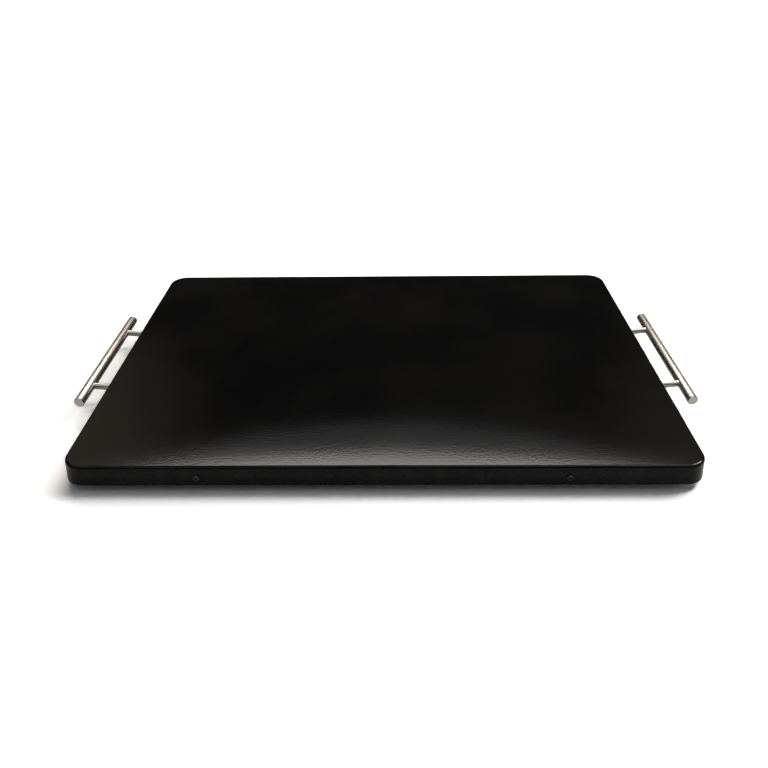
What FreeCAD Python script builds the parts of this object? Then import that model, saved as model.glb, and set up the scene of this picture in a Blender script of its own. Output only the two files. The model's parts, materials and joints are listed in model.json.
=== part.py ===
import FreeCAD, Part
import math
import os
import re

import Sketcher

# Electric food warmer tray: an upside-down pressed pan over a heating stack, on four rubber feet.
# Millimetres. +X is the tray's right, +Y its back, +Z up. The origin is on the floor, under the middle.

Vector = FreeCAD.Vector
os.makedirs("parts", exist_ok=True)
doc = FreeCAD.newDocument("warmer_tray")

# Driving dimensions
SIZES = {
    "tray_length": 650, "tray_width": 450, "skirt_height": 22, "skirt_gap": 8,
    "cover_sheet": 1.5, "wall_draft": 5, "corner_radius": 22, "top_edge_radius": 3,
    "pan_sheet": 1.2, "pan_recess": 2, "pan_fit": 0.3, "lug_width": 22, "lug_height": 13,
    "stack_side_margin": 45, "stack_front_margin": 35, "stack_back_margin": 65, "stack_corner": 6,
    "spreader_sheet": 1.5, "mica_sheet": 0.6, "foil_sheet": 0.3, "clamp_sheet": 1.0,
    "track_width": 12, "track_count": 28, "track_edge": 4, "track_margin": 12, "tail_length": 20,
    "stud_tracks": 10, "stud_edge": 45, "stud_length": 8,
    "bolt_radius": 2, "bolt_clearance": 0.25, "thread_clearance": 0.05,
    "nut_across": 7, "nut_height": 3.2,
    "screw_head_radius": 3.5, "screw_head_height": 2.2, "screw_length": 8,
    "recess_depth": 1.2, "recess_span": 3.6, "recess_slot": 0.9,
    "skirt_screw_inset": 139, "skirt_screw_height": 17,
    "bar_radius": 6, "bar_length": 200, "bar_offset": 26, "bar_chamfer": 0.8,
    "post_radius": 4, "post_spacing": 128, "post_seat": 4, "post_fit": 0.05,
    "handle_height": 20, "backing_sheet": 2, "backing_length": 160, "backing_width": 13,
    "washer_sheet": 0.8, "washer_radius": 4.5, "handle_screw_reach": 9,
    "foot_radius": 12, "foot_taper": 2, "foot_well_radius": 5.5, "foot_well_depth": 5,
    "foot_inset_x": 35, "foot_inset_y": 22, "foot_screw_length": 11,
    "sensor_radius": 8, "sensor_height": 8, "sensor_sheet": 0.8, "sensor_flange_length": 32,
    "sensor_flange_width": 10, "sensor_hole_spacing": 24, "sensor_bolt_radius": 1.5,
    "sensor_head_radius": 2.8, "sensor_head_height": 1.8, "sensor_x": -45, "sensor_spacing": 60,
    "sensor_inset": 22,
    "blade_width": 6.3, "blade_sheet": 0.8, "blade_reach": 8, "blade_root": 3, "blade_drop": 6,
    "reset_radius": 1.7, "reset_guide": 0.1, "reset_depth": 5, "reset_stand": 2, "reset_travel": 1,
    "reset_window": 3,
    "block_length": 36, "block_width": 18, "block_height": 14, "block_side_inset": 80, "block_back_inset": 37,
    "block_pitch": 11, "insert_radius": 2.4, "insert_bore": 1.35, "clamp_screw_radius": 1.2,
    "clamp_screw_sink": 2, "clamp_screw_offset": 4, "lead_radius": 1.2, "lead_grip": 3, "lead_bend": 6,
    "gland_height": 17.5, "gland_bore": 3.25, "gland_seal_radius": 5,
    "gland_thread_radius": 6, "gland_across": 15, "gland_flange": 3, "gland_cap_length": 6,
    "gland_thread_length": 8, "locknut_height": 3,
    "switch_side_inset": 180, "switch_height": 17.5, "bezel_length": 15, "bezel_width": 10.5,
    "bezel_height": 2, "switch_length": 13.3, "switch_width": 8.7, "switch_depth": 11,
    "rocker_length": 10, "rocker_width": 6.4, "rocker_rise": 1.6, "rocker_dip": 0.6,
    "rocker_tilt": 9, "rocker_pivot": 2, "rocker_pin_radius": 0.8, "rocker_gap": 0.6, "rocker_drop": 4,
    "switch_blade_width": 4.8, "switch_blade_spacing": 8,
    "earth_side_inset": 33, "earth_stud_length": 12, "ring_sheet": 0.8, "ring_radius": 4.2,
    "ring_tongue": 9, "ring_tongue_width": 4,
}
sheet = doc.addObject("Spreadsheet::Sheet", "Sizes")
for row, (alias, value) in enumerate(SIZES.items(), start=1):
    sheet.set(f"A{row}", alias.replace("_", " "))
    sheet.set(f"B{row}", str(value))
    sheet.setAlias(f"B{row}", alias)

# Levels and places that follow from the driving dimensions
DERIVED = {
    "pan_bottom": "=skirt_gap + pan_recess",
    "pan_top": "=pan_bottom + pan_sheet",
    "tray_top": "=skirt_gap + skirt_height",
    "cover_under": "=tray_top - cover_sheet",
    "upper_mica_level": "=cover_under - spreader_sheet - mica_sheet",
    "foil_level": "=upper_mica_level - foil_sheet",
    "lower_mica_level": "=foil_level - mica_sheet",
    "clamp_level": "=lower_mica_level - clamp_sheet",
    "wall_inset": "=cover_sheet / cos(wall_draft)",
    "bolt_hole": "=bolt_radius + bolt_clearance",
    "bolt_bore": "=bolt_radius + thread_clearance",
    "lead_level": "=clamp_level - sensor_sheet - blade_drop",
    "block_hole_height": "=lead_level - pan_top",
    "stack_length": "=tray_length - 2 * stack_side_margin",
    "stack_width": "=tray_width - stack_front_margin - stack_back_margin",
    "stack_shift": "=(stack_back_margin - stack_front_margin) / 2",
    "stack_back": "=tray_width / 2 - stack_back_margin",
    "track_pitch": "=(stack_length - track_width - 2 * track_edge) / (track_count - 1)",
    "stud_pitch_x": "=stud_tracks * track_pitch",
    "stud_pitch_y": "=stack_width / 2 - stud_edge",
    "sensor_y": "=stack_back - sensor_inset",
    "block_x": "=tray_length / 2 - block_side_inset",
    "block_y": "=tray_width / 2 - block_back_inset",
    "gland_x": "=block_x",
    "switch_x": "=tray_length / 2 - switch_side_inset",
    "skirt_screw_spacing": "=tray_length - 2 * skirt_screw_inset",
    "earth_x": "=tray_length / 2 - earth_side_inset",
    "earth_y": "=block_y",
    "foot_x": "=tray_length / 2 - foot_inset_x",
    "foot_y": "=tray_width / 2 - foot_inset_y",
    "track_back": "=stack_back - track_margin",
    "lug_back": "=cover_sheet + pan_sheet",
    "cutout_x": "=sensor_x + sensor_spacing / 2",
    "thermostat_x": "=sensor_x - sensor_spacing / 2",
}
for row, (alias, formula) in enumerate(DERIVED.items(), start=len(SIZES) + 2):
    sheet.set(f"A{row}", alias.replace("_", " "))
    sheet.set(f"B{row}", formula)
    sheet.setAlias(f"B{row}", alias)
    doc.recompute()


CELLS = set(SIZES) | set(DERIVED)


def size(alias):
    """A number from the sheet, for the few pieces whose shape is worked out in code."""
    return float(getattr(sheet, alias))


def sized(text):
    """Spell a formula's aliases as the sheet's cells."""
    return re.sub(r"[a-z_]+", lambda word: "Sizes." + word[0] if word[0] in CELLS else word[0], text)


def bind(feature, **formulas):
    """Tie properties of a feature to the sheet."""
    for name, formula in formulas.items():
        feature.setExpression(name, sized(formula))


# Frames that pieces are placed in

def at(x="0", y="0", z="0", turn=None):
    """A placement formula at a point, with an optional (axis, angle) turn."""
    axis, angle = turn or ((0, 0, 1), "0")
    spin = f"rotation(vector({axis[0]}; {axis[1]}; {axis[2]}); {angle})"
    return f"placement(vector({x}; {y}; {z}); {spin})"


def on_wall(side, along, height):
    """A frame on the skirt's sloping outer skin, with local Z straight out of the wall."""
    inset = f"( {height} - skirt_gap ) * tan( wall_draft )"
    lean = "( 90 - wall_draft )"
    if side == "right":
        return at(f"tray_length / 2 - {inset}", along, height, ((0, 1, 0), lean))
    if side == "left":
        return at(f"-1 * tray_length / 2 + {inset}", along, height, ((0, 1, 0), f"-1 * {lean}"))
    if side == "back":
        return at(along, f"tray_width / 2 - {inset}", height, ((1, 0, 0), f"-1 * {lean}"))
    return at(along, f"-1 * tray_width / 2 + {inset}", height, ((1, 0, 0), lean))


def place(piece, frame):
    piece.setExpression("Placement", sized(frame))
    return piece


# Solids that the pieces are made from

def plane(body, role):
    return next(item for item in body.Origin.OriginFeatures if item.Role == role)


def new_body(label):
    body = doc.addObject("PartDesign::Body", label)
    body.Label = label
    return body


def outline(body, points, lift="0", on="XY_Plane"):
    """A closed outline of straight runs, each corner tied to the sheet in both directions."""
    sketch = body.newObject("Sketcher::SketchObject", body.Name + "_outline")
    sketch.AttachmentSupport = [(plane(body, on), "")]
    sketch.MapMode = "FlatFace"
    bind(sketch, **{"AttachmentOffset.Base.z": lift})
    count = len(points)
    ring = [Vector(10 * math.cos(2 * math.pi * k / count), 10 * math.sin(2 * math.pi * k / count), 0)
            for k in range(count)]
    for k in range(count):
        sketch.addGeometry(Part.LineSegment(ring[k], ring[(k + 1) % count]), False)
    for k in range(count):
        sketch.addConstraint(Sketcher.Constraint("Coincident", k, 2, (k + 1) % count, 1))
    for k, (across, up) in enumerate(points):
        spot = sketch.addConstraint(Sketcher.Constraint("DistanceX", -1, 1, k, 1, ring[k].x))
        sketch.setExpression(f"Constraints[{spot}]", sized(across))
        spot = sketch.addConstraint(Sketcher.Constraint("DistanceY", -1, 1, k, 1, ring[k].y))
        sketch.setExpression(f"Constraints[{spot}]", sized(up))
    return sketch


def rounds(body, centres, radius, lift="0", on="XY_Plane"):
    """A sketch of circles of one radius."""
    sketch = body.newObject("Sketcher::SketchObject", body.Name + "_rounds")
    sketch.AttachmentSupport = [(plane(body, on), "")]
    sketch.MapMode = "FlatFace"
    bind(sketch, **{"AttachmentOffset.Base.z": lift})
    for k, (across, up) in enumerate(centres):
        sketch.addGeometry(Part.Circle(Vector(20 * k + 5, 5, 0), Vector(0, 0, 1), 2), False)
        spot = sketch.addConstraint(Sketcher.Constraint("DistanceX", -1, 1, k, 3, 20 * k + 5))
        sketch.setExpression(f"Constraints[{spot}]", sized(across))
        spot = sketch.addConstraint(Sketcher.Constraint("DistanceY", -1, 1, k, 3, 5))
        sketch.setExpression(f"Constraints[{spot}]", sized(up))
        spot = sketch.addConstraint(Sketcher.Constraint("Radius", k, 2))
        sketch.setExpression(f"Constraints[{spot}]", sized(radius))
    return sketch


def box_points(length, width, x="0", y="0"):
    """The four corners of a rectangle about a centre."""
    left = f"{x} - ( {length} ) / 2"
    right = f"{x} + ( {length} ) / 2"
    front = f"{y} - ( {width} ) / 2"
    back = f"{y} + ( {width} ) / 2"
    return [(left, front), (right, front), (right, back), (left, back)]


def hexagon_points(across):
    """The corners of a hexagon, from its width across flats."""
    reach = f"( {across} ) / sqrt( 3 )"
    return [(f"{reach} * cos( {60 * k} )", f"{reach} * sin( {60 * k} )") for k in range(6)]


def pad(body, sketch, depth, down=False, taper=None):
    feature = body.newObject("PartDesign::Pad", body.Name + "_pad")
    feature.Profile = sketch
    feature.Reversed = down
    bind(feature, Length=depth)
    if taper:
        bind(feature, TaperAngle=taper)
    doc.recompute()
    return feature


def pocket(body, sketch, depth, up=True, taper=None):
    """Cut a sketch into the body, along the sketch's normal unless up is false."""
    before = body.Shape.Volume
    feature = body.newObject("PartDesign::Pocket", body.Name + "_pocket")
    feature.Profile = sketch
    feature.Reversed = up
    bind(feature, Length=depth)
    if taper:
        bind(feature, TaperAngle=taper)
    doc.recompute()
    if not body.Shape.Volume < before:
        raise RuntimeError(f"{body.Label}: a pocket cuts nothing")
    return feature


def revolve(body, points):
    """Turn a profile, given as (radius, height) corners, about the body's own Z axis."""
    feature = body.newObject("PartDesign::Revolution", body.Name + "_turned")
    sketch = outline(body, points, on="XZ_Plane")
    feature.Profile = sketch
    feature.ReferenceAxis = (sketch, ["V_Axis"])
    feature.Angle = 360
    doc.recompute()
    return feature


def round_edges(body, radius, wanted, kind="Fillet"):
    """Fillet or chamfer the edges that pass a test."""
    base = body.Tip
    names = [f"Edge{k}" for k, edge in enumerate(base.Shape.Edges, start=1) if wanted(edge)]
    feature = body.newObject("PartDesign::" + kind, body.Name + "_" + kind.lower())
    feature.Base = (base, names)
    bind(feature, **({"Radius": radius} if kind == "Fillet" else {"Size": radius}))
    doc.recompute()
    return feature


def upright(edge):
    """A straight edge that climbs, as at a corner of a plate or a pan."""
    ends = [vertex.Point for vertex in edge.Vertexes]
    return len(ends) == 2 and abs(ends[0].z - ends[1].z) > 0.6 * edge.Length


def level_at(height):
    return lambda edge: all(abs(vertex.Z - height) < 1e-4 for vertex in edge.Vertexes)


def plate(label, length, width, thickness, level="0", x="0", y="0", corner=None):
    """A flat rectangular plate, its lower face at a level."""
    body = new_body(label)
    pad(body, outline(body, box_points(length, width, x, y), level), thickness)
    if corner:
        round_edges(body, corner, upright)
    return body


def turned(label, points):
    body = new_body(label)
    revolve(body, points)
    return body


def hex_nut(label, across="nut_across", height="nut_height", bore="bolt_bore"):
    """A nut whose seat is at local zero and whose body goes down from it."""
    body = new_body(label)
    pad(body, outline(body, hexagon_points(across)), height, down=True)
    pocket(body, rounds(body, [("0", "0")], bore), height, up=False)
    return body


def cross_points():
    """The corners of a cross recess."""
    tip, slot = "recess_span / 2", "recess_slot / 2"
    far, near = f"-1 * {tip}", f"-1 * {slot}"
    return [(tip, near), (tip, slot), (slot, slot), (slot, tip), (near, tip), (near, slot),
            (far, slot), (far, near), (near, near), (near, far), (slot, far), (slot, near)]


def pan_screw(label, length):
    """A pan-head screw: its head sits at local zero and rises, its shank goes down."""
    body = turned(label, [
        ("0", f"-1 * {length}"), ("bolt_radius", f"-1 * {length}"), ("bolt_radius", "0"),
        ("screw_head_radius", "0"), ("screw_head_radius", "screw_head_height * 0.55"),
        ("screw_head_radius * 0.8", "screw_head_height * 0.9"),
        ("screw_head_radius * 0.5", "screw_head_height"), ("0", "screw_head_height")])
    pocket(body, outline(body, cross_points(), "screw_head_height"), "recess_depth", up=False)
    return body


def washer(label, radius="washer_radius", thickness="washer_sheet", bore="bolt_hole"):
    """A flat washer that goes down from local zero."""
    return turned(label, [(bore, f"-1 * {thickness}"), (radius, f"-1 * {thickness}"),
                          (radius, "0"), (bore, "0")])


def cut(label, base, tools):
    """Cut several tools from a piece, whose own object stays as the base."""
    joined = tools[0]
    if len(tools) > 1:
        joined = doc.addObject("Part::MultiFuse", label + "_tools")
        joined.Shapes = tools
    feature = doc.addObject("Part::Cut", label)
    feature.Base = base
    feature.Tool = joined
    feature.Label = label
    return feature


def rod(name, radius, length, frame):
    """A plain cylinder, used as a cutting tool along a frame's Z."""
    cylinder = doc.addObject("Part::Cylinder", name)
    bind(cylinder, Radius=radius, Height=length)
    return place(cylinder, frame)


def block(name, length, width, height, frame):
    """A plain box centred on a frame's X and Y, used as a cutting tool."""
    solid = doc.addObject("Part::Box", name)
    bind(solid, Length=length, Width=width, Height=height)
    centre = at(f"-1 * ( {length} ) / 2", f"-1 * ( {width} ) / 2")
    return place(solid, f"{frame} * {centre}")


def group(label, pieces):
    """Identical pieces under one name."""
    compound = doc.addObject("Part::Compound", label)
    compound.Links = pieces
    compound.Label = label
    return compound


SIDES = ("left", "right")
HANDLE_SPOTS = [(side, end, f"{sign} * post_spacing / 2") for side in SIDES
                for end, sign in (("front", "-1"), ("rear", "1"))]
SKIRT_SPOTS = [(side, f"{sign} * skirt_screw_spacing / 2") for side in ("front", "back")
               for sign in ("-1", "1")]
FOOT_SPOTS = [(f"{end}_{side}", f"{sx} * foot_x", f"{sy} * foot_y")
              for end, sy in (("front", "-1"), ("rear", "1")) for side, sx in (("left", "-1"), ("right", "1"))]
STUD_SPOTS = [(f"{i} * stud_pitch_x", f"{j} * stud_pitch_y - stack_shift")
              for i in (-1, 0, 1) for j in (-1, 0, 1)]
SENSOR_SPOTS = [("cutout", "cutout_x"), ("thermostat", "thermostat_x")]

GLAND_FRAME = on_wall("back", "gland_x", "gland_height")
SWITCH_FRAME = on_wall("back", "switch_x", "switch_height")
THROUGH = "cover_sheet * 3"


# Cover

def make_cover():
    """The deep-drawn black top: flat, with walls that flare outward and a small rolled edge."""
    body = new_body("top_cover_blank")
    pad(body, outline(body, box_points("tray_length", "tray_width"), "skirt_gap"),
        "skirt_height", taper="-1 * wall_draft")
    round_edges(body, "corner_radius", upright)
    round_edges(body, "top_edge_radius", level_at(size("tray_top")))
    inner_length = "tray_length - 2 * wall_inset"
    inner_width = "tray_width - 2 * wall_inset"
    cavity = new_body("cover_cavity")
    pad(cavity, outline(cavity, box_points(inner_length, inner_width), "skirt_gap"),
        "skirt_height - cover_sheet", taper="-1 * wall_draft")
    round_edges(cavity, "corner_radius - cover_sheet", upright)
    round_edges(cavity, "top_edge_radius - cover_sheet", level_at(size("cover_under")))
    tools = [cavity]
    for side, end, along in HANDLE_SPOTS:
        frame = on_wall(side, along, "handle_height") + " * " + at(z=f"-1 * {THROUGH} / 2")
        tools.append(rod(f"{side}_{end}_handle_hole", "bolt_hole", THROUGH, frame))
    for k, (side, along) in enumerate(SKIRT_SPOTS):
        frame = on_wall(side, along, "skirt_screw_height") + " * " + at(z=f"-1 * {THROUGH} / 2")
        tools.append(rod(f"skirt_hole_{k}", "bolt_hole", THROUGH, frame))
    behind = at(z=f"-1 * {THROUGH} / 2")
    tools.append(rod("gland_hole", "gland_thread_radius + bolt_clearance", THROUGH,
                     GLAND_FRAME + " * " + behind))
    tools.append(block("switch_window", "switch_length + 2 * thread_clearance",
                       "switch_width + 2 * thread_clearance", THROUGH, SWITCH_FRAME + " * " + behind))
    return cut("top_cover", body, tools)


# Base pan

def make_base_pan():
    """The flat bottom sheet, with four lugs folded up against the skirt."""
    level_inset = "( pan_recess + pan_sheet ) * tan( wall_draft )"
    half_gap = f"( wall_inset + {level_inset} + pan_fit )"
    sheet_body = plate("pan_sheet_metal", f"tray_length - 2 * {half_gap}", f"tray_width - 2 * {half_gap}",
                       "pan_sheet", "pan_bottom", corner="corner_radius - cover_sheet")
    shapes = [sheet_body]
    drop = "( skirt_screw_height - pan_bottom - pan_sheet / 4 ) / cos( wall_draft )"
    for k, (side, along) in enumerate(SKIRT_SPOTS):
        down = "-1" if side == "front" else "1"
        seat = at(y=f"{down} * ( {drop} - lug_height / 2 )", z="-1 * lug_back")
        frame = on_wall(side, along, "skirt_screw_height") + " * " + seat
        shapes.append(block(f"lug_{k}", "lug_width", "lug_height", "pan_sheet", frame))
    joined = doc.addObject("Part::MultiFuse", "pan_with_lugs")
    joined.Shapes = shapes
    tools = []
    deep = "pan_sheet * 3"
    for name, x, y in FOOT_SPOTS:
        tools.append(rod(f"{name}_foot_hole", "bolt_hole", deep, at(x, y, "pan_bottom - pan_sheet")))
    for k, (side, along) in enumerate(SKIRT_SPOTS):
        frame = on_wall(side, along, "skirt_screw_height") + " * " + at(z="-1 * lug_back - pan_sheet")
        tools.append(rod(f"lug_hole_{k}", "bolt_hole", deep, frame))
    tools.append(rod("gland_notch", "gland_across / sqrt( 3 ) + pan_fit", "gland_thread_length + 1",
                     GLAND_FRAME + " * " + at(z="-1 * gland_thread_length - 1")))
    tools.append(rod("reset_window", "reset_window", deep, at("cutout_x", "sensor_y", "pan_bottom - pan_sheet")))
    tools.append(rod("block_bolt_hole", "sensor_bolt_radius + bolt_clearance", deep,
                     at("block_x", "block_y", "pan_bottom - pan_sheet")))
    return cut("base_pan", joined, tools)


# Heating stack

def stack_plate(label, thickness, level, hole="bolt_hole"):
    body = plate(label, "stack_length", "stack_width", thickness, level, y="-1 * stack_shift",
                 corner="stack_corner")
    pocket(body, rounds(body, STUD_SPOTS, hole, level), thickness)
    return body


def make_foil():
    """The heating foil: one zigzag ribbon of columns, with both tails at the back."""
    body = new_body("heating_foil")
    first = "( track_count - 1 ) * track_pitch / 2"
    column = "stack_width - 2 * track_margin"
    start = outline(body, box_points("track_width", column, f"-1 * {first}", "-1 * stack_shift"), "foil_level")
    pad(body, start, "foil_sheet")
    columns = body.newObject("PartDesign::LinearPattern", "foil_columns")
    columns.Originals = [body.Tip]
    columns.Direction = (plane(body, "X_Axis"), [""])
    bind(columns, Length="( track_count - 1 ) * track_pitch", Occurrences="track_count")
    body.Tip = columns
    doc.recompute()
    ends = {"front": ("-1", "0", "track_count / 2"), "back": ("1", "1", "track_count / 2 - 1")}
    for name, (side, skip, copies) in ends.items():
        x = f"( -1 * {first} + track_pitch / 2 + {skip} * track_pitch )"
        y = f"( {side} * ( {column} - track_width ) / 2 - stack_shift )"
        link = outline(body, box_points("track_pitch + track_width", "track_width", x, y), "foil_level")
        bridge = pad(body, link, "foil_sheet")
        links = body.newObject("PartDesign::LinearPattern", f"foil_links_{name}")
        links.Originals = [bridge]
        links.Direction = (plane(body, "X_Axis"), [""])
        bind(links, Length=f"( {copies} - 1 ) * 2 * track_pitch", Occurrences=copies)
        body.Tip = links
        doc.recompute()
    for side in ("-1", "1"):
        tail = box_points("track_width", "tail_length", f"{side} * {first}", "track_back + tail_length / 2 - 1")
        pad(body, outline(body, tail, "foil_level"), "foil_sheet")
    return body


def make_blanket():
    """Ceramic-fibre blanket that fills from the base pan to the clamp plate, with a bay for the sensors."""
    body = plate("insulation_blanket", "stack_length", "stack_width", "clamp_level - pan_top", "pan_top",
                 y="-1 * stack_shift", corner="stack_corner")
    pocket(body, rounds(body, STUD_SPOTS, "nut_across / sqrt( 3 ) + 1", "pan_top"), "clamp_level - pan_top")
    bay_length = "sensor_spacing + 2 * ( sensor_radius + blade_reach + 3 * lead_bend + pan_fit )"
    bay_depth = "stack_back - sensor_y + sensor_flange_length / 2 + 3"
    bay = box_points(bay_length, f"2 * ( {bay_depth} )", "sensor_x", "stack_back")
    pocket(body, outline(body, bay, "pan_top"), "clamp_level - pan_top")
    return body


def make_stack():
    pieces = [stack_plate("heat_spreader", "spreader_sheet", "cover_under - spreader_sheet"),
              stack_plate("upper_mica_sheet", "mica_sheet", "upper_mica_level"),
              make_foil(),
              stack_plate("lower_mica_sheet", "mica_sheet", "lower_mica_level")]
    clamp = plate("clamp_plate", "stack_length", "stack_width", "clamp_sheet", "clamp_level",
                  y="-1 * stack_shift", corner="stack_corner")
    pocket(clamp, rounds(clamp, STUD_SPOTS, "bolt_hole", "clamp_level"), "clamp_sheet")
    holes = [(x, f"sensor_y + {sign} * sensor_hole_spacing / 2") for _, x in SENSOR_SPOTS
             for sign in ("-1", "1")]
    pocket(clamp, rounds(clamp, holes, "sensor_bolt_radius + thread_clearance", "clamp_level"), "clamp_sheet")
    pieces.append(clamp)
    studs, nuts = [], []
    for k, (x, y) in enumerate(STUD_SPOTS):
        stud = turned(f"clamp_stud_{k}", [("0", "-1 * stud_length"), ("bolt_radius", "-1 * stud_length"),
                                          ("bolt_radius", "0"), ("0", "0")])
        studs.append(place(stud, at(x, y, "cover_under")))
        nuts.append(place(hex_nut(f"clamp_nut_{k}"), at(x, y, "clamp_level")))
    pieces += [group("clamp_studs", studs), group("clamp_nuts", nuts), make_blanket()]
    return pieces


# Feet

def make_feet():
    pieces, screws, washers, nuts = [], [], [], []
    for name, x, y in FOOT_SPOTS:
        foot = turned(f"{name}_foot", [
            ("foot_well_radius", "0"), ("foot_radius - foot_taper", "0"), ("foot_radius", "pan_bottom"),
            ("bolt_hole", "pan_bottom"), ("bolt_hole", "foot_well_depth"),
            ("foot_well_radius", "foot_well_depth")])
        pieces.append(place(foot, at(x, y)))
        under = ((1, 0, 0), "180")
        screw = pan_screw(f"{name}_foot_bolt", "foot_screw_length")
        screws.append(place(screw, at(x, y, "foot_well_depth - washer_sheet", under)))
        washers.append(place(washer(f"{name}_foot_washer"), at(x, y, "foot_well_depth")))
        nuts.append(place(hex_nut(f"{name}_foot_nut"), at(x, y, "pan_top", under)))
    return pieces + [group("foot_screws", screws), group("foot_washers", washers), group("foot_nuts", nuts)]


# Handles

def make_bar(side):
    """A round stainless bar with two flat-bottomed seats for its posts."""
    bar = new_body(f"{side}_handle_bar")
    ring = rounds(bar, [("0", "bar_offset")], "bar_radius", "-1 * bar_length / 2", on="XZ_Plane")
    pad(bar, ring, "bar_length")
    round_edges(bar, "bar_chamfer", lambda edge: len(edge.Vertexes) == 1, kind="Chamfer")
    seats = [("0", f"{sign} * post_spacing / 2") for sign in ("-1", "1")]
    pocket(bar, rounds(bar, seats, "post_radius + post_fit"), "bar_offset - bar_radius + post_seat")
    return place(bar, on_wall(side, "0", "handle_height"))


def make_handles():
    pieces, screws, washers = [], [], []
    inside = "-1 * ( cover_sheet + backing_sheet )"
    for side in SIDES:
        pieces.append(make_bar(side))
        backing = plate(f"{side}_backing_plate", "backing_width", "backing_length", "backing_sheet",
                        "-1 * cover_sheet - backing_sheet")
        spots = [("0", f"{sign} * post_spacing / 2") for sign in ("-1", "1")]
        pocket(backing, rounds(backing, spots, "bolt_hole", inside), "backing_sheet")
        pieces.append(place(backing, on_wall(side, "0", "handle_height")))
    for side, end, along in HANDLE_SPOTS:
        frame = on_wall(side, along, "handle_height")
        tip = "bar_offset - bar_radius + post_seat"
        bore_end = "handle_screw_reach + 2"
        post = turned(f"{side}_{end}_post", [
            ("bolt_bore", "0"), ("post_radius", "0"), ("post_radius", tip), ("0", tip),
            ("0", bore_end), ("bolt_bore", bore_end)])
        pieces.append(place(post, frame))
        flip = ((1, 0, 0), "180")
        seat = at(z=f"{inside} - washer_sheet", turn=flip)
        length = "handle_screw_reach + cover_sheet + backing_sheet + washer_sheet"
        screws.append(place(pan_screw(f"{side}_{end}_screw", f"( {length} )"), frame + " * " + seat))
        washers.append(place(washer(f"{side}_{end}_washer"), frame + " * " + at(z=inside)))
    return pieces + [group("handle_screws", screws), group("handle_washers", washers)]


def make_skirt_screws():
    screws, nuts = [], []
    for k, (side, along) in enumerate(SKIRT_SPOTS):
        frame = on_wall(side, along, "skirt_screw_height")
        screws.append(place(pan_screw(f"skirt_screw_{k}", "screw_length"), frame))
        nuts.append(place(hex_nut(f"lug_nut_{k}"), frame + " * " + at(z="-1 * lug_back")))
    return [group("skirt_screws", screws), group("lug_nuts", nuts)]


# Thermostat and thermal cut-out

def make_sensors():
    pieces, screws, blades = [], [], []
    for name, x in SENSOR_SPOTS:
        flange = plate(f"{name}_flange", "sensor_flange_width", "sensor_flange_length", "sensor_sheet",
                       "-1 * sensor_sheet")
        spots = [("0", f"{sign} * sensor_hole_spacing / 2") for sign in ("-1", "1")]
        pocket(flange, rounds(flange, spots, "sensor_bolt_radius + bolt_clearance", "-1 * sensor_sheet"),
               "sensor_sheet")
        pieces.append(place(flange, at(x, "sensor_y", "clamp_level")))
        foot = "-1 * ( sensor_sheet + sensor_height )"
        profile = [("0", foot), ("sensor_radius", foot), ("sensor_radius", "-1 * sensor_sheet"),
                   ("0", "-1 * sensor_sheet")]
        if name == "cutout":
            bore = "reset_radius + reset_guide"
            roof = f"{foot} + reset_depth + reset_travel + 0.2"
            profile = [(bore, foot)] + profile[1:] + [("0", roof), (bore, roof)]
        case = place(turned(f"{name}_case", profile), at(x, "sensor_y", "clamp_level"))
        slots = []
        for side, sign in (("left", "-1"), ("right", "1")):
            middle = f"{sign} * ( sensor_radius - blade_root + ( blade_root + blade_reach ) / 2 )"
            seat = at(x, "sensor_y", "lead_level") + " * " + at(x=middle, z="-1 * blade_sheet / 2")
            tall = "blade_sheet + 2 * thread_clearance"
            slot_seat = at(x, "sensor_y", f"lead_level - ( {tall} ) / 2") + " * " + at(x=middle)
            slots.append(block(f"{name}_{side}_slot", "blade_root + blade_reach",
                               "blade_width + 2 * thread_clearance", tall, slot_seat))
            blade = plate(f"{name}_{side}_blade", "blade_root + blade_reach", "blade_width", "blade_sheet")
            blades.append(place(blade, seat))
        pieces.append(cut(f"{name}_body", case, slots))
        for sign in ("-1", "1"):
            head = "sensor_sheet + sensor_head_height"
            length = "clamp_sheet"
            screw = turned(f"{name}_bolt_{'front' if sign == '-1' else 'back'}", [
                ("0", f"-1 * ( {head} )"), ("sensor_head_radius", f"-1 * ( {head} )"),
                ("sensor_head_radius", "-1 * sensor_sheet"), ("sensor_bolt_radius", "-1 * sensor_sheet"),
                ("sensor_bolt_radius", length), ("0", length)])
            screws.append(place(screw, at(x, f"sensor_y + {sign} * sensor_hole_spacing / 2", "clamp_level")))
    button = turned("reset_button", [
        ("0", "-1 * reset_stand"), ("reset_radius * 0.8", "-1 * reset_stand"),
        ("reset_radius", "-1 * reset_stand + reset_radius * 0.2"), ("reset_radius", "reset_depth"),
        ("0", "reset_depth")])
    pieces.append(place(button, at("cutout_x", "sensor_y", "clamp_level - sensor_sheet - sensor_height")))
    return pieces + [group("sensor_screws", screws), group("sensor_blades", blades)]


# Terminal block, earth stud and gland

BLOCK_SPOTS = [("live", "block_x - block_pitch"), ("neutral", "block_x"), ("earth", "block_x + block_pitch")]


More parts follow.
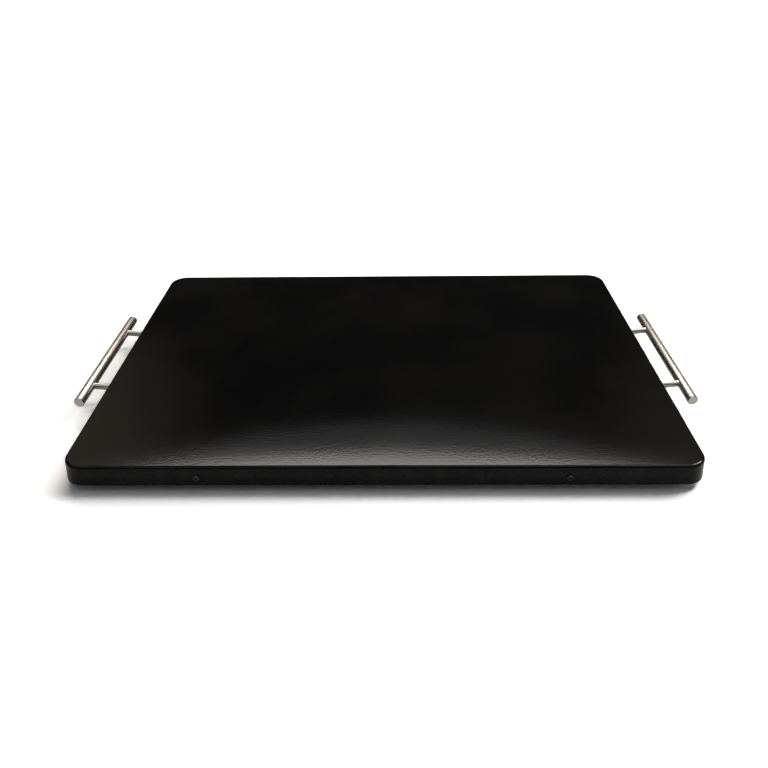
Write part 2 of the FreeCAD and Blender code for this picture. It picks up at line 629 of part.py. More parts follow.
def make_terminal_block():
    case = plate("block_case", "block_length", "block_width", "block_height", "pan_top", "block_x", "block_y")
    tools, inserts, screws = [], [], []
    lie = ((1, 0, 0), "-90")
    for name, x in BLOCK_SPOTS:
        front = at(x, "block_y - block_width / 2", "lead_level", lie)
        tools.append(rod(f"{name}_tunnel", "insert_radius + thread_clearance", "block_width", front))
        shaft_low = "( lead_level + insert_bore )"
        shaft = at(x, "block_y - clamp_screw_offset", shaft_low)
        tools.append(rod(f"{name}_shaft", "clamp_screw_radius + bolt_clearance", "block_height", shaft))
        tube = turned(f"{name}_insert_tube", [("insert_bore", "0"), ("insert_radius", "0"),
                                              ("insert_radius", "block_width"),
                                              ("insert_bore", "block_width")])
        place(tube, front)
        hole = rod(f"{name}_insert_hole", "clamp_screw_radius + thread_clearance", "insert_radius * 2",
                   at(x, "block_y - clamp_screw_offset", "lead_level"))
        inserts.append(cut(f"{name}_insert", tube, [hole]))
        reach = "pan_top + block_height - clamp_screw_sink"
        length = f"( {reach} - {shaft_low} )"
        screw = turned(f"{name}_clamp_screw", [("0", f"-1 * {length}"),
                                               ("clamp_screw_radius", f"-1 * {length}"),
                                               ("clamp_screw_radius", "0"), ("0", "0")])
        screws.append(place(screw, at(x, "block_y - clamp_screw_offset", reach)))
    bolt_reach = "block_hole_height - insert_radius - 1"
    tools.append(rod("block_bolt_socket", "sensor_bolt_radius + thread_clearance",
                     f"{bolt_reach} + pan_sheet", at("block_x", "block_y", "pan_bottom")))
    bolt = turned("block_bolt", [
        ("0", "-1 * sensor_head_height * 0.8"), ("sensor_head_radius", "-1 * sensor_head_height * 0.8"),
        ("sensor_head_radius", "0"), ("sensor_bolt_radius", "0"),
        ("sensor_bolt_radius", f"pan_sheet + {bolt_reach}"), ("0", f"pan_sheet + {bolt_reach}")])
    place(bolt, at("block_x", "block_y", "pan_bottom"))
    return [cut("terminal_block", case, tools), group("block_inserts", inserts),
            group("block_screws", screws), bolt]


def make_earth():
    """Stud welded under the cover, with the ring terminal and its nut."""
    stud = turned("earth_stud", [("0", "-1 * earth_stud_length"), ("bolt_radius", "-1 * earth_stud_length"),
                                 ("bolt_radius", "0"), ("0", "0")])
    place(stud, at("earth_x", "earth_y", "cover_under"))
    spacer_drop = "( cover_under - lead_level - ring_sheet / 2 )"
    spacer = turned("earth_spacer", [("bolt_hole", f"-1 * {spacer_drop}"), ("nut_across / 2", f"-1 * {spacer_drop}"),
                                     ("nut_across / 2", "0"), ("bolt_hole", "0")])
    place(spacer, at("earth_x", "earth_y", "cover_under"))
    ring = new_body("earth_ring")
    tongue = box_points("ring_tongue_width", "ring_tongue", "0", "-1 * ring_tongue / 2")
    pad(ring, outline(ring, tongue), "ring_sheet")
    pad(ring, rounds(ring, [("0", "0")], "ring_radius"), "ring_sheet")
    pocket(ring, rounds(ring, [("0", "0")], "bolt_hole"), "ring_sheet")
    place(ring, at("earth_x", "earth_y", "lead_level - ring_sheet / 2"))
    nut = place(hex_nut("earth_nut", height="nut_height * 0.7"), at("earth_x", "earth_y", "lead_level - ring_sheet / 2"))
    return [stud, spacer, ring, nut]


def make_gland():
    """Low cable gland in the back wall: flanged body, rubber seal, domed cap and locknut."""
    collar = "gland_flange + gland_cap_length * 0.55"
    body = new_body("gland_body")
    pad(body, outline(body, hexagon_points("gland_across")), "gland_flange")
    pad(body, rounds(body, [("0", "0")], "gland_thread_radius"), "gland_thread_length", down=True)
    pad(body, rounds(body, [("0", "0")], "gland_thread_radius", "gland_flange"), f"{collar} - gland_flange")
    total = f"gland_thread_length + {collar}"
    pocket(body, rounds(body, [("0", "0")], "gland_seal_radius", f"{collar}"), f"{collar} - gland_flange", up=False)
    pocket(body, rounds(body, [("0", "0")], "gland_bore + 0.35", f"{collar}"), total, up=False)
    place(body, GLAND_FRAME)
    top = "gland_flange + gland_cap_length"
    seal = turned("gland_seal", [
        ("gland_bore", "gland_flange"), ("gland_seal_radius - thread_clearance", "gland_flange"),
        ("gland_seal_radius - thread_clearance", f"{top} - 1.5"), ("gland_bore", f"{top} - 1.5")])
    place(seal, GLAND_FRAME)
    outer = "gland_across / 2"
    cap = turned("gland_cap", [
        ("gland_thread_radius + thread_clearance", "gland_flange"), (outer, "gland_flange"),
        (outer, f"{top} - 3"), (f"{outer} - 0.8", f"{top} - 1.2"), (f"{outer} - 2.2", f"{top}"),
        ("gland_bore + 0.5", f"{top}"), ("gland_bore + 0.5", f"{top} - 1.5"),
        ("gland_seal_radius", f"{top} - 1.5"), ("gland_seal_radius", f"{collar}"),
        ("gland_thread_radius + thread_clearance", f"{collar}")])
    place(cap, GLAND_FRAME)
    nut = hex_nut("gland_locknut", "gland_across", "locknut_height", "gland_thread_radius + thread_clearance")
    place(nut, GLAND_FRAME + " * " + at(z="-1 * cover_sheet"))
    return [body, seal, cap, nut]


# Switch on the back wall

def make_switch():
    """Small snap-in rocker switch. Its rocker swings about an upright axis and rests at off."""
    case = new_body("switch_case")
    pad(case, outline(case, box_points("bezel_length", "bezel_width")), "bezel_height")
    pad(case, outline(case, box_points("switch_length", "switch_width")), "switch_depth", down=True)
    well_length = "rocker_length + 2 * rocker_gap + 0.4"
    well_depth = "rocker_pivot + rocker_drop + rocker_gap"
    well = box_points(well_length, "rocker_width + 0.4")
    pocket(case, outline(case, well, "bezel_height"), f"bezel_height + {well_depth}", up=False)
    pins = rounds(case, [("0", "-1 * rocker_pivot")], "rocker_pin_radius + thread_clearance",
                  "-1 * switch_width / 2 - 1", on="XZ_Plane")
    pocket(case, pins, "switch_width + 2")
    place(case, SWITCH_FRAME)
    slots, blades = [], []
    for name, sign in (("in", "-1"), ("out", "1")):
        x = f"{sign} * switch_blade_spacing / 2"
        low = "-1 * ( switch_depth + blade_reach )"
        frame = SWITCH_FRAME + " * " + at(x, "0", low)
        blade = new_body(f"switch_blade_{name}")
        pad(blade, outline(blade, box_points("blade_sheet", "switch_blade_width")), "blade_reach + blade_root")
        blades.append(place(blade, frame))
        slots.append(block(f"switch_slot_{name}", "blade_sheet + 2 * thread_clearance",
                           "switch_blade_width + 2 * thread_clearance", "blade_reach + blade_root", frame))
    housing = cut("switch_housing", case, slots)
    rocker = new_body("switch_rocker")
    half = "rocker_length / 2"
    low = "-1 * rocker_pivot - rocker_drop / 2"
    profile = [(f"-1 * {half}", low), (half, low), (half, "rocker_rise"),
               ("0", "rocker_rise - rocker_dip"), (f"-1 * {half}", "rocker_rise")]
    pad(rocker, outline(rocker, profile, "-1 * rocker_width / 2", on="XZ_Plane"), "rocker_width")
    pin = rounds(rocker, [("0", "-1 * rocker_pivot")], "rocker_pin_radius", "-1 * switch_width / 2", on="XZ_Plane")
    pad(rocker, pin, "switch_width")
    tilt = at(z="-1 * rocker_pivot") + " * " + at(turn=((0, 1, 0), "-1 * rocker_tilt")) + " * " + at(z="rocker_pivot")
    place(rocker, SWITCH_FRAME + " * " + tilt)
    return [housing, rocker, group("switch_blades", blades)]


# Internal leads

def rounded_path(points, radius):
    """Straight runs joined by tangent arcs of one radius, or of what the shorter run allows."""
    edges, start = [], points[0]
    for before, corner, after in zip(points, points[1:], points[2:]):
        come = (corner - before).normalize()
        leave = (after - corner).normalize()
        turn = come.getAngle(leave)
        shorter = min((corner - before).Length, (after - corner).Length)
        trim = min(radius * math.tan(turn / 2), 0.45 * shorter)
        enter, out = corner - come * trim, corner + leave * trim
        inward = (leave - come).normalize()
        bend = trim / math.tan(turn / 2)
        middle = corner + inward * (bend / math.cos(turn / 2) - bend)
        edges.append(Part.makeLine(start, enter))
        edges.append(Part.Arc(enter, middle, out).toShape())
        start = out
    edges.append(Part.makeLine(start, points[-1]))
    return Part.Wire(edges)


def make_lead(label, points):
    """A sleeved lead along a route."""
    path = rounded_path(points, size("lead_bend"))
    direction = points[1] - points[0]
    section = Part.Wire(Part.makeCircle(size("lead_radius"), points[0], direction))
    tube = path.makePipeShell([section], True, False)
    lead = doc.addObject("Part::Feature", label)
    lead.Shape = tube
    lead.Label = label
    expected = math.pi * size("lead_radius") ** 2 * path.Length
    print(f"{label}: length {path.Length:.1f} mm, volume ratio {tube.Volume / expected:.4f}")
    return lead


def make_leads():
    """Leads held all the way: block to switch, switch to cut-out, cut-out to thermostat, and the tails."""
    level = size("lead_level")
    block_front = size("block_y") - size("block_width") / 2
    enter = block_front + size("lead_grip")
    draft = math.radians(size("wall_draft"))
    live_x = size("block_x") - size("block_pitch")
    neutral_x = size("block_x")
    earth_x = size("block_x") + size("block_pitch")
    track = block_front - 2 * size("lead_bend")
    wall_y = size("tray_width") / 2 - (size("switch_height") - size("skirt_gap")) * math.tan(draft)
    reach = size("switch_depth") + size("blade_reach")

    def switch_end(x):
        """The blade's end, and a point further in along the switch's own axis."""
        tip = Vector(x, wall_y - reach * math.cos(draft), size("switch_height") - reach * math.sin(draft))
        along = Vector(0, -math.cos(draft), -math.sin(draft))
        return tip, tip + along * size("lead_bend")

    half = size("switch_blade_spacing") / 2
    supply, supply_in = switch_end(size("switch_x") + half)
    feed, feed_in = switch_end(size("switch_x") - half)
    blade_end = size("sensor_radius") + size("blade_reach")
    sensor_y = size("sensor_y")
    tail_x = (size("track_count") - 1) * size("track_pitch") / 2
    tail_y = size("stack_back") + size("lead_radius") + 1
    foil = size("foil_level")
    ring_y = size("earth_y") - size("ring_tongue")
    routes = {
        "live_lead": [Vector(live_x, enter, level), Vector(live_x, track, level),
                      Vector(supply.x, track, level), supply_in, supply],
        "switched_lead": [feed, feed_in, Vector(feed.x, track, level),
                          Vector(size("cutout_x") + blade_end + 2 * size("lead_bend"), track, level),
                          Vector(size("cutout_x") + blade_end + 2 * size("lead_bend"), sensor_y, level),
                          Vector(size("cutout_x") + blade_end, sensor_y, level)],
        "link_lead": [Vector(size("cutout_x") - blade_end, sensor_y, level),
                      Vector(size("thermostat_x") + blade_end, sensor_y, level)],
        "element_lead": [Vector(size("thermostat_x") - blade_end, sensor_y, level),
                         Vector(size("thermostat_x") - blade_end - 2 * size("lead_bend"), sensor_y, level),
                         Vector(size("thermostat_x") - blade_end - 2 * size("lead_bend"), tail_y, level),
                         Vector(-tail_x, tail_y, level), Vector(-tail_x, tail_y, foil)],
        "neutral_lead": [Vector(neutral_x, enter, level), Vector(neutral_x, tail_y, level),
                         Vector(tail_x, tail_y, level), Vector(tail_x, tail_y, foil)],
        "earth_lead": [Vector(earth_x, enter, level), Vector(earth_x, track, level),
                       Vector(size("earth_x"), track, level), Vector(size("earth_x"), ring_y, level)],
    }
    return [make_lead(label, route) for label, route in routes.items()]


nodes = [make_cover(), make_base_pan()]
nodes += make_stack() + make_feet() + make_handles() + make_skirt_screws()
nodes += make_sensors() + make_terminal_block() + make_earth() + make_gland() + make_switch() + make_leads()
doc.recompute()

for item in doc.Objects:
    if {"Invalid", "Error"} & set(item.State):
        raise RuntimeError(f"{item.Label} failed: {item.State}")
for node in nodes:
    if node.Shape.isNull() or not node.Shape.isValid() or not node.Shape.Solids:
        raise RuntimeError(f"{node.Label} has no valid solid")
for node in nodes:
    node.Shape.exportStep(os.path.join("parts", node.Label + ".step"))
print(f"{len(nodes)} nodes written")
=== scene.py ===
import json
import math

import bmesh
import bpy
from mathutils import Matrix, Vector


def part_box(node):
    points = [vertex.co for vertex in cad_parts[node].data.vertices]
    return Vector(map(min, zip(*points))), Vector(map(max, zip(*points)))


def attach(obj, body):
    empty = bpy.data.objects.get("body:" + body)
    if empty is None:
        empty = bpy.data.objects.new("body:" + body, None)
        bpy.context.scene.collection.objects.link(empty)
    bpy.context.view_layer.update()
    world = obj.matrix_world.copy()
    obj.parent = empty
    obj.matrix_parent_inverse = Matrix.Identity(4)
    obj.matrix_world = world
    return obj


bl_info = {
    "name": "Warmer tray",
    "version": (1, 0, 0),
    "blender": (4, 5, 0),
    "location": "3D View > Sidebar > Warmer tray",
    "description": "Dresses the electric food warmer tray and lights it on a white floor",
    "category": "Object",
}

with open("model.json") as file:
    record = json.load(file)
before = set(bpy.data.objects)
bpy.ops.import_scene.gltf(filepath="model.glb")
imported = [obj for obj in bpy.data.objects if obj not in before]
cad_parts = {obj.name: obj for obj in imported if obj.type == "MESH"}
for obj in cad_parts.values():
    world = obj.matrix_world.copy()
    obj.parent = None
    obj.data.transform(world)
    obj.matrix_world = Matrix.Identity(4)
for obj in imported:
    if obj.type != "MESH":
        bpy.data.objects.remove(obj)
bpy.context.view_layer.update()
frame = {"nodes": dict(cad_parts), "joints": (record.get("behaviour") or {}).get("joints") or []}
MM = 0.001
COVER_LOW, COVER_HIGH = (Vector(corner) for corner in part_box("top_cover"))
DRAFT = math.radians(5)

# The rocker as it is drawn in the solids: its tilt at rest, half length, hollow and height over the pivot
ROCKER_TILT = math.radians(9)
ROCKER_HALF = 5 * MM
ROCKER_DIP = 0.6 * MM
ROCKER_FACE = 3.3 * MM

# How deep the ribs and the marks are rooted in the solids that carry them
RIB_ROOT = 0.4 * MM
MARK_ROOT = 0.05 * MM

# Half the length of a rib, as a share of the cap's length
RIB_REACH = 0.30

# A foot's radius at its top, and its first ring's level and the rings' step as shares of its height
FOOT_TOP_RADIUS = 10 * MM
RING_FIRST = 0.22
RING_STEP = 0.16

# A ring's round back: how far its centre is sunk, as a share of its radius, and its sweep to each side
RING_SINK = 0.2
RING_SWEEP = 70

# Meshes: corners closer than this are one, and a steeper edge than this is sharp
MERGE_DISTANCE = 1e-6
SHARP_ANGLE = math.radians(35)

# Scale of the brush lines along the grain, as a share of their scale across it
GRAIN_STRETCH = 0.006

# Sockets of the Mix node when it mixes colours, by their place
MIX_FACTOR = 0
MIX_FIRST = 6
MIX_SECOND = 7
MIX_RESULT = 2

# Stage: flat cards in the ring, colours of the lamps, and the camera's sensor in mm and reach in m
CARD_COUNT = 96
WHITE_LIGHT = (1.0, 1.0, 1.0)
BAND_LIGHT = (1.0, 0.94, 0.885)
WARM_LIGHT = (1.0, 0.84, 0.66)
SENSOR_WIDTH = 36.0
CAMERA_REACH = 50.0

finishes = {}


# Node tools

class Socket:
    """A value socket that takes part in Python arithmetic by adding Math nodes."""

    def __init__(self, graph, output):
        self.graph = graph
        self.output = output

    def _math(self, operation, *values):
        return self.graph.node("ShaderNodeMath", {"operation": operation}, values)

    def __add__(self, other):
        return self._math("ADD", self, other)

    __radd__ = __add__

    def __rsub__(self, other):
        return self._math("SUBTRACT", other, self)

    def __mul__(self, other):
        return self._math("MULTIPLY", self, other)

    __rmul__ = __mul__

    def __pow__(self, other):
        return self._math("POWER", self, other)

    def clamp(self):
        """The value held between 0 and 1."""
        return self.graph.node("ShaderNodeMath", {"operation": "MULTIPLY", "use_clamp": True}, (self, 1.0))

    def above(self, low, high):
        """0 below low, 1 above high, and smooth between them."""
        settings = {"interpolation_type": "SMOOTHSTEP", "clamp": True}
        return self.graph.node("ShaderNodeMapRange", settings,
                               {"Value": self, "From Min": low, "From Max": high})


def share(part, first, second):
    """The first value by its part, and the rest of the second."""
    return part * first + (1 - part) * second


class Graph:
    """The nodes of a material, a lamp or the world, with the shader that they drive."""

    def __init__(self, data, shader):
        self.data = data
        data.use_nodes = True
        self.nodes = data.node_tree.nodes
        self.links = data.node_tree.links
        self.shader = self.nodes[shader]

    def feed(self, target, value):
        """A link from a Socket or a plain value for an input; a colour of three parts is opaque."""
        if isinstance(value, Socket):
            self.links.new(value.output, target)
        elif target.type == "RGBA" and len(value) == 3:
            target.default_value = (*value, 1.0)
        else:
            target.default_value = value

    def set(self, socket, value):
        """Feed one input of the shader."""
        self.feed(self.shader.inputs[socket], value)

    def node(self, kind, settings=None, values=(), output=0):
        """One node: its settings are set first, then its sockets, by place or by name."""
        node = self.nodes.new(kind)
        for name, value in (settings or {}).items():
            setattr(node, name, value)
        pairs = values.items() if isinstance(values, dict) else enumerate(values)
        for key, value in pairs:
            if value is not None:
                self.feed(node.inputs[key], value)
        return Socket(self, node.outputs[output])

    def ray(self, kind):
        """1 for rays of one kind, such as those straight from the camera."""
        return self.node("ShaderNodeLightPath", output=f"Is {kind} Ray")


class Finish(Graph):
    """A procedural material on a Principled shader."""

    def __init__(self, name, **constants):
        super().__init__(bpy.data.materials.new(name), "Principled BSDF")
        for socket, value in constants.items():
            self.set(socket.replace("_", " "), value)

    def place(self):
        """The point on the object, in metres, at rest."""
        return self.node("ShaderNodeTexCoord", output="Object")

    def axis(self, letter):
        """One coordinate of the point."""
        return self.node("ShaderNodeSeparateXYZ", None, (self.place(),), output=letter)

    def noise(self, scale, detail=2.0, roughness=0.5, where=None):
        """Cloudy noise of a scale in features per metre."""
        return self.node("ShaderNodeTexNoise", None, {
            "Vector": where or self.place(), "Scale": scale, "Detail": detail, "Roughness": roughness})

    def streaks(self, scales, detail, roughness):
        """Noise with a scale for each axis, for grain that runs one way."""
        point = self.node("ShaderNodeVectorMath", {"operation": "MULTIPLY"}, (self.place(), scales))
        return self.noise(1.0, detail, roughness, where=point)

    def cells(self, scale, smoothness=None):
        """The distance to the nearest of scattered points, rounded off by a smoothness."""
        feature = "F1" if smoothness is None else "SMOOTH_F1"
        values = {"Vector": self.place(), "Scale": scale}
        if smoothness is not None:
            values["Smoothness"] = smoothness
        return self.node("ShaderNodeTexVoronoi", {"feature": feature}, values)

    def facets(self, scale):
        """Flat cells, each with a value of its own."""
        values = {"Vector": self.place(), "Scale": scale}
        colour = self.node("ShaderNodeTexVoronoi", None, values, output="Color")
        return self.node("ShaderNodeSeparateColor", None, (colour,), output="Red")

    def edges(self, soft, sharp):
        """1 where an edge stands proud, from the mesh's own pointiness."""
        return self.node("ShaderNodeNewGeometry", output="Pointiness").above(soft, sharp)

    def blend(self, factor, first, second):
        """Two colours mixed by a factor."""
        return self.node("ShaderNodeMix", {"data_type": "RGBA"},
                         {MIX_FACTOR: factor, MIX_FIRST: first, MIX_SECOND: second}, MIX_RESULT)

    def bump(self, height, strength, depth, under=None):
        """The normal over relief of a depth in metres, which may lie on other relief."""
        return self.node("ShaderNodeBump", None, {
            "Height": height, "Strength": strength, "Distance": depth, "Normal": under})

    def roughen(self, base, *gains):
        """Roughness from a base value and what each pattern adds to it where it is full."""
        roughness = base
        for gain, pattern in gains:
            roughness = roughness + gain * pattern
        self.set("Roughness", roughness)


# Mesh tools

def finish_mesh(name, mesh_data, material, body, smooth=True):
    """Turn a bmesh into a named piece that rides on a body."""
    bmesh.ops.remove_doubles(mesh_data, verts=mesh_data.verts, dist=MERGE_DISTANCE)
    bmesh.ops.recalc_face_normals(mesh_data, faces=mesh_data.faces)
    mesh = bpy.data.meshes.new(name)
    mesh_data.to_mesh(mesh)
    mesh_data.free()
    piece = bpy.data.objects.new(name, mesh)
    bpy.context.scene.collection.objects.link(piece)
    piece.data.materials.append(material)
    if smooth:
        mesh.shade_smooth()
        mesh.set_sharp_from_angle(angle=SHARP_ANGLE)
    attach(piece, body)


def stage_mesh(name, corners, faces, material):
    """A plain mesh for the stage."""
    mesh = bpy.data.meshes.new(name)
    mesh.from_pydata(corners, [], faces)
    mesh.materials.append(material)
    piece = bpy.data.objects.new(name, mesh)
    bpy.context.scene.collection.objects.link(piece)
    return piece


def round_corners(radius, height, steps):
    """Corners evenly round a level circle about Z."""
    angles = (2 * math.pi * k / steps for k in range(steps))
    return [Vector((radius * math.cos(a), radius * math.sin(a), height)) for a in angles]


def wall_frame(node):
    """The frame of a back-wall fitting: its centre on the sloping skin, with Z straight out of it."""
    low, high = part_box(node)
    turn = Matrix.Rotation(-(math.pi / 2 - DRAFT), 4, "X")
    centre_z = (low.z + high.z) / 2
    skin_y = COVER_HIGH.y - (centre_z - COVER_LOW.z) * math.tan(DRAFT)
    return Matrix.Translation(((low.x + high.x) / 2, skin_y, centre_z)) @ turn


def lathe(mesh_data, profile, place, steps):
    """Turn (radius, height) corners about local Z into the bmesh."""
    rings = []
    for radius, height in profile:
        corners = round_corners(radius, height, steps)
        rings.append([mesh_data.verts.new(place @ corner) for corner in corners])
    for lower, upper in zip(rings, rings[1:]):
        for k in range(steps):
            ahead = (k + 1) % steps
            mesh_data.faces.new((lower[k], lower[ahead], upper[ahead], upper[k]))


def arc(centre, radius, start, end, steps):
    """Profile corners round a stretch of a circle, in degrees."""
    sweep = [math.radians(start + (end - start) * k / steps) for k in range(steps + 1)]
    return [(centre[0] + radius * math.cos(a), centre[1] + radius * math.sin(a)) for a in sweep]


def slab(mesh_data, outline, low, high, place):
    """A closed prism between two levels over an outline of (x, y) corners."""
    floor = [mesh_data.verts.new(place @ Vector((x, y, low))) for x, y in outline]
    roof = [mesh_data.verts.new(place @ Vector((x, y, high))) for x, y in outline]
    mesh_data.faces.new(floor[::-1])
    mesh_data.faces.new(roof)
    for k in range(len(outline)):
        ahead = (k + 1) % len(outline)
        mesh_data.faces.new((floor[k], floor[ahead], roof[ahead], roof[k]))


# Finishes

def black_enamel(tones):
    """Semi-gloss black enamel over pressed steel: orange-peel relief, faint swirls and a rubbed edge."""
    finish = Finish("black enamel", Specular_IOR_Level=0.1, Metallic=0.0)
    peel = finish.noise(scale=400, detail=3.0, roughness=0.55)
    pebble = finish.cells(scale=440, smoothness=0.7)
    drift = finish.noise(scale=9, detail=3.0, roughness=0.55)
    wave = finish.noise(scale=5, detail=1.0, roughness=0.4)
    dust = finish.noise(scale=2600, detail=1.0).above(0.70, 0.80)
    worn = finish.edges(0.53, 0.60) * finish.noise(scale=60, detail=4.0, roughness=0.7).above(0.45, 0.75)
    coat = finish.blend(drift.above(0.35, 0.7), tones.enamel_deep, tones.enamel)
    finish.set("Base Color", finish.blend(worn * 0.35, coat, tones.enamel_worn))
    finish.roughen(0.045, (0.03, drift), (0.025, peel), (0.05, dust))
    swell = finish.bump(wave, strength=0.2, depth=0.9 * MM)
    skin = finish.bump(share(0.55, peel, pebble), strength=0.6, depth=0.05 * MM, under=swell)
    finish.set("Normal", skin)
    return finish.data


def brushed_steel(name, tones, grain):
    """Satin stainless steel: hair-fine lines along the grain's axis and a faint film from hands."""
    finish = Finish(name, Metallic=1.0)
    across = [GRAIN_STRETCH if letter == grain else 1.0 for letter in "XYZ"]
    fine = finish.streaks([6500 * a for a in across], detail=2.0, roughness=0.6)
    coarse = finish.streaks([2600 * a for a in across], detail=1.0, roughness=0.5)
    film = finish.noise(scale=26).above(0.40, 0.70)
    lines = share(0.6, fine, coarse)
    metal = finish.blend(0.35 + 0.3 * lines, tones.steel_dark, tones.steel)
    finish.set("Base Color", finish.blend(film * 0.15, metal, tones.steel_warm))
    finish.roughen(tones.steel_roughness, (0.02, film))
    finish.set("Normal", finish.bump(lines, strength=0.04, depth=0.003 * MM))
    return finish.data


def blackened_steel():
    """Blackened screw heads with the black rubbed thin on their rims and round the driver's cross."""
    finish = Finish("blackened screws", Metallic=1.0)
    grain = finish.noise(scale=1700, roughness=0.6)
    worn = finish.edges(0.53, 0.62) * finish.noise(scale=900, detail=3.0).above(0.35, 0.65)
    black = finish.blend(grain, (0.020, 0.020, 0.021), (0.045, 0.045, 0.046))
    finish.set("Base Color", finish.blend(worn * 0.5, black, (0.16, 0.14, 0.12)))
    finish.roughen(0.34, (0.14, grain))
    finish.set("Normal", finish.bump(grain, strength=0.3, depth=0.02 * MM))
    return finish.data


def zinc(name, tones, roughness):
    """Zinc plating: flat crystals of slightly different tone, white bloom and a fine grain."""
    finish = Finish(name, Metallic=1.0)
    crystal = finish.facets(scale=210)
    bloom = finish.noise(scale=22, detail=4.0, roughness=0.6).above(0.5, 0.75)
    grain = finish.noise(scale=900)
    plating = finish.blend(crystal, tones.zinc_dark, tones.zinc)
    finish.set("Base Color", finish.blend(bloom * 0.35, plating, (0.60, 0.61, 0.60)))
    finish.roughen(roughness, (0.12, crystal), (0.12, bloom))
    finish.set("Normal", finish.bump(grain, strength=0.25, depth=0.03 * MM))
    return finish.data


def moulded(name, deep, light, roughness, grain=1500, relief=0.03 * MM):
    """Moulded plastic or phenolic: fine spark-eroded grain, flow marks and a faint polish on its edges."""
    finish = Finish(name, Metallic=0.0)
    flow = finish.noise(scale=70, detail=3.0, roughness=0.6)
    fine = finish.noise(scale=grain, roughness=0.6)
    polish = finish.edges(0.52, 0.62)
    finish.set("Base Color", finish.blend(share(0.6, flow, polish), deep, light))
    finish.roughen(roughness, (0.12, fine), (-0.12, polish))
    finish.set("Normal", finish.bump(fine, strength=0.5, depth=relief))
    return finish.data


def rubber(name, deep, light):
    """Matt rubber: chalky bloom, dust near the floor and a pitted skin."""
    finish = Finish(name, Metallic=0.0)
    bloom = finish.noise(scale=140, detail=4.0, roughness=0.65).above(0.42, 0.72)
    dust = 1.0 - finish.axis("Z").above(0.0, 4 * MM)
    pits = finish.cells(scale=1300)
    skin = finish.blend(bloom, deep, light)
    finish.set("Base Color", finish.blend(dust * 0.3, skin, (0.16, 0.15, 0.14)))
    finish.roughen(0.72, (0.15, bloom))
    finish.set("Normal", finish.bump(pits, strength=0.35, depth=0.06 * MM))
    return finish.data


def mineral(name, deep, light, scale, relief, roughness):
    """Fibrous or flaky insulation."""
    finish = Finish(name, Metallic=0.0)
    fibre = finish.streaks((scale, scale * 0.25, scale), detail=4.0, roughness=0.7)
    blotch = finish.noise(scale=18, detail=3.0, roughness=0.6)
    finish.set("Base Color", finish.blend(share(0.6, fibre, blotch), deep, light))
    finish.roughen(roughness, (0.1, fibre))
    finish.set("Normal", finish.bump(fibre, strength=0.6, depth=relief))
    return finish.data


def bare_metal(name, deep, light, roughness):
    """Drawn or rolled metal with its rolling lines along X."""
    finish = Finish(name, Metallic=1.0)
    lines = finish.streaks((60, 2200, 2200), detail=2.0, roughness=0.6)
    tarnish = finish.noise(scale=60, detail=4.0, roughness=0.6).above(0.4, 0.75)
    finish.set("Base Color", finish.blend(share(0.4, lines, tarnish), light, deep))
    finish.roughen(roughness, (0.12, lines), (0.12, tarnish))
    finish.set("Normal", finish.bump(lines, strength=0.3, depth=0.02 * MM))
    return finish.data


def ceramic(name):
    """Glazed ceramic with tiny specks and a pooled glaze."""
    finish = Finish(name, Metallic=0.0, Coat_Roughness=0.12)
    speck = finish.noise(scale=900, detail=1.0).above(0.70, 0.76)
    pool = finish.noise(scale=45)
    glaze = finish.blend(pool, (0.72, 0.70, 0.64), (0.84, 0.83, 0.79))
    finish.set("Base Color", finish.blend(speck * 0.5, glaze, (0.35, 0.30, 0.24)))
    finish.roughen(0.22, (0.12, pool))
    finish.set("Normal", finish.bump(pool, strength=0.3, depth=0.2 * MM))
    return finish.data


def sleeve(name, light, dark):
    """Braided glass-fibre sleeving: a fine crossed weave with heat yellowing."""
    finish = Finish(name, Metallic=0.0)
    weave = finish.cells(scale=1500)
    heat = finish.noise(scale=50, detail=3.0)
    finish.set("Base Color", finish.blend(share(0.6, weave, heat), light, dark))
    finish.roughen(0.68, (0.15, weave))
    finish.set("Normal", finish.bump(weave, strength=0.6, depth=0.1 * MM))
    return finish.data


# Materials by the record's slot

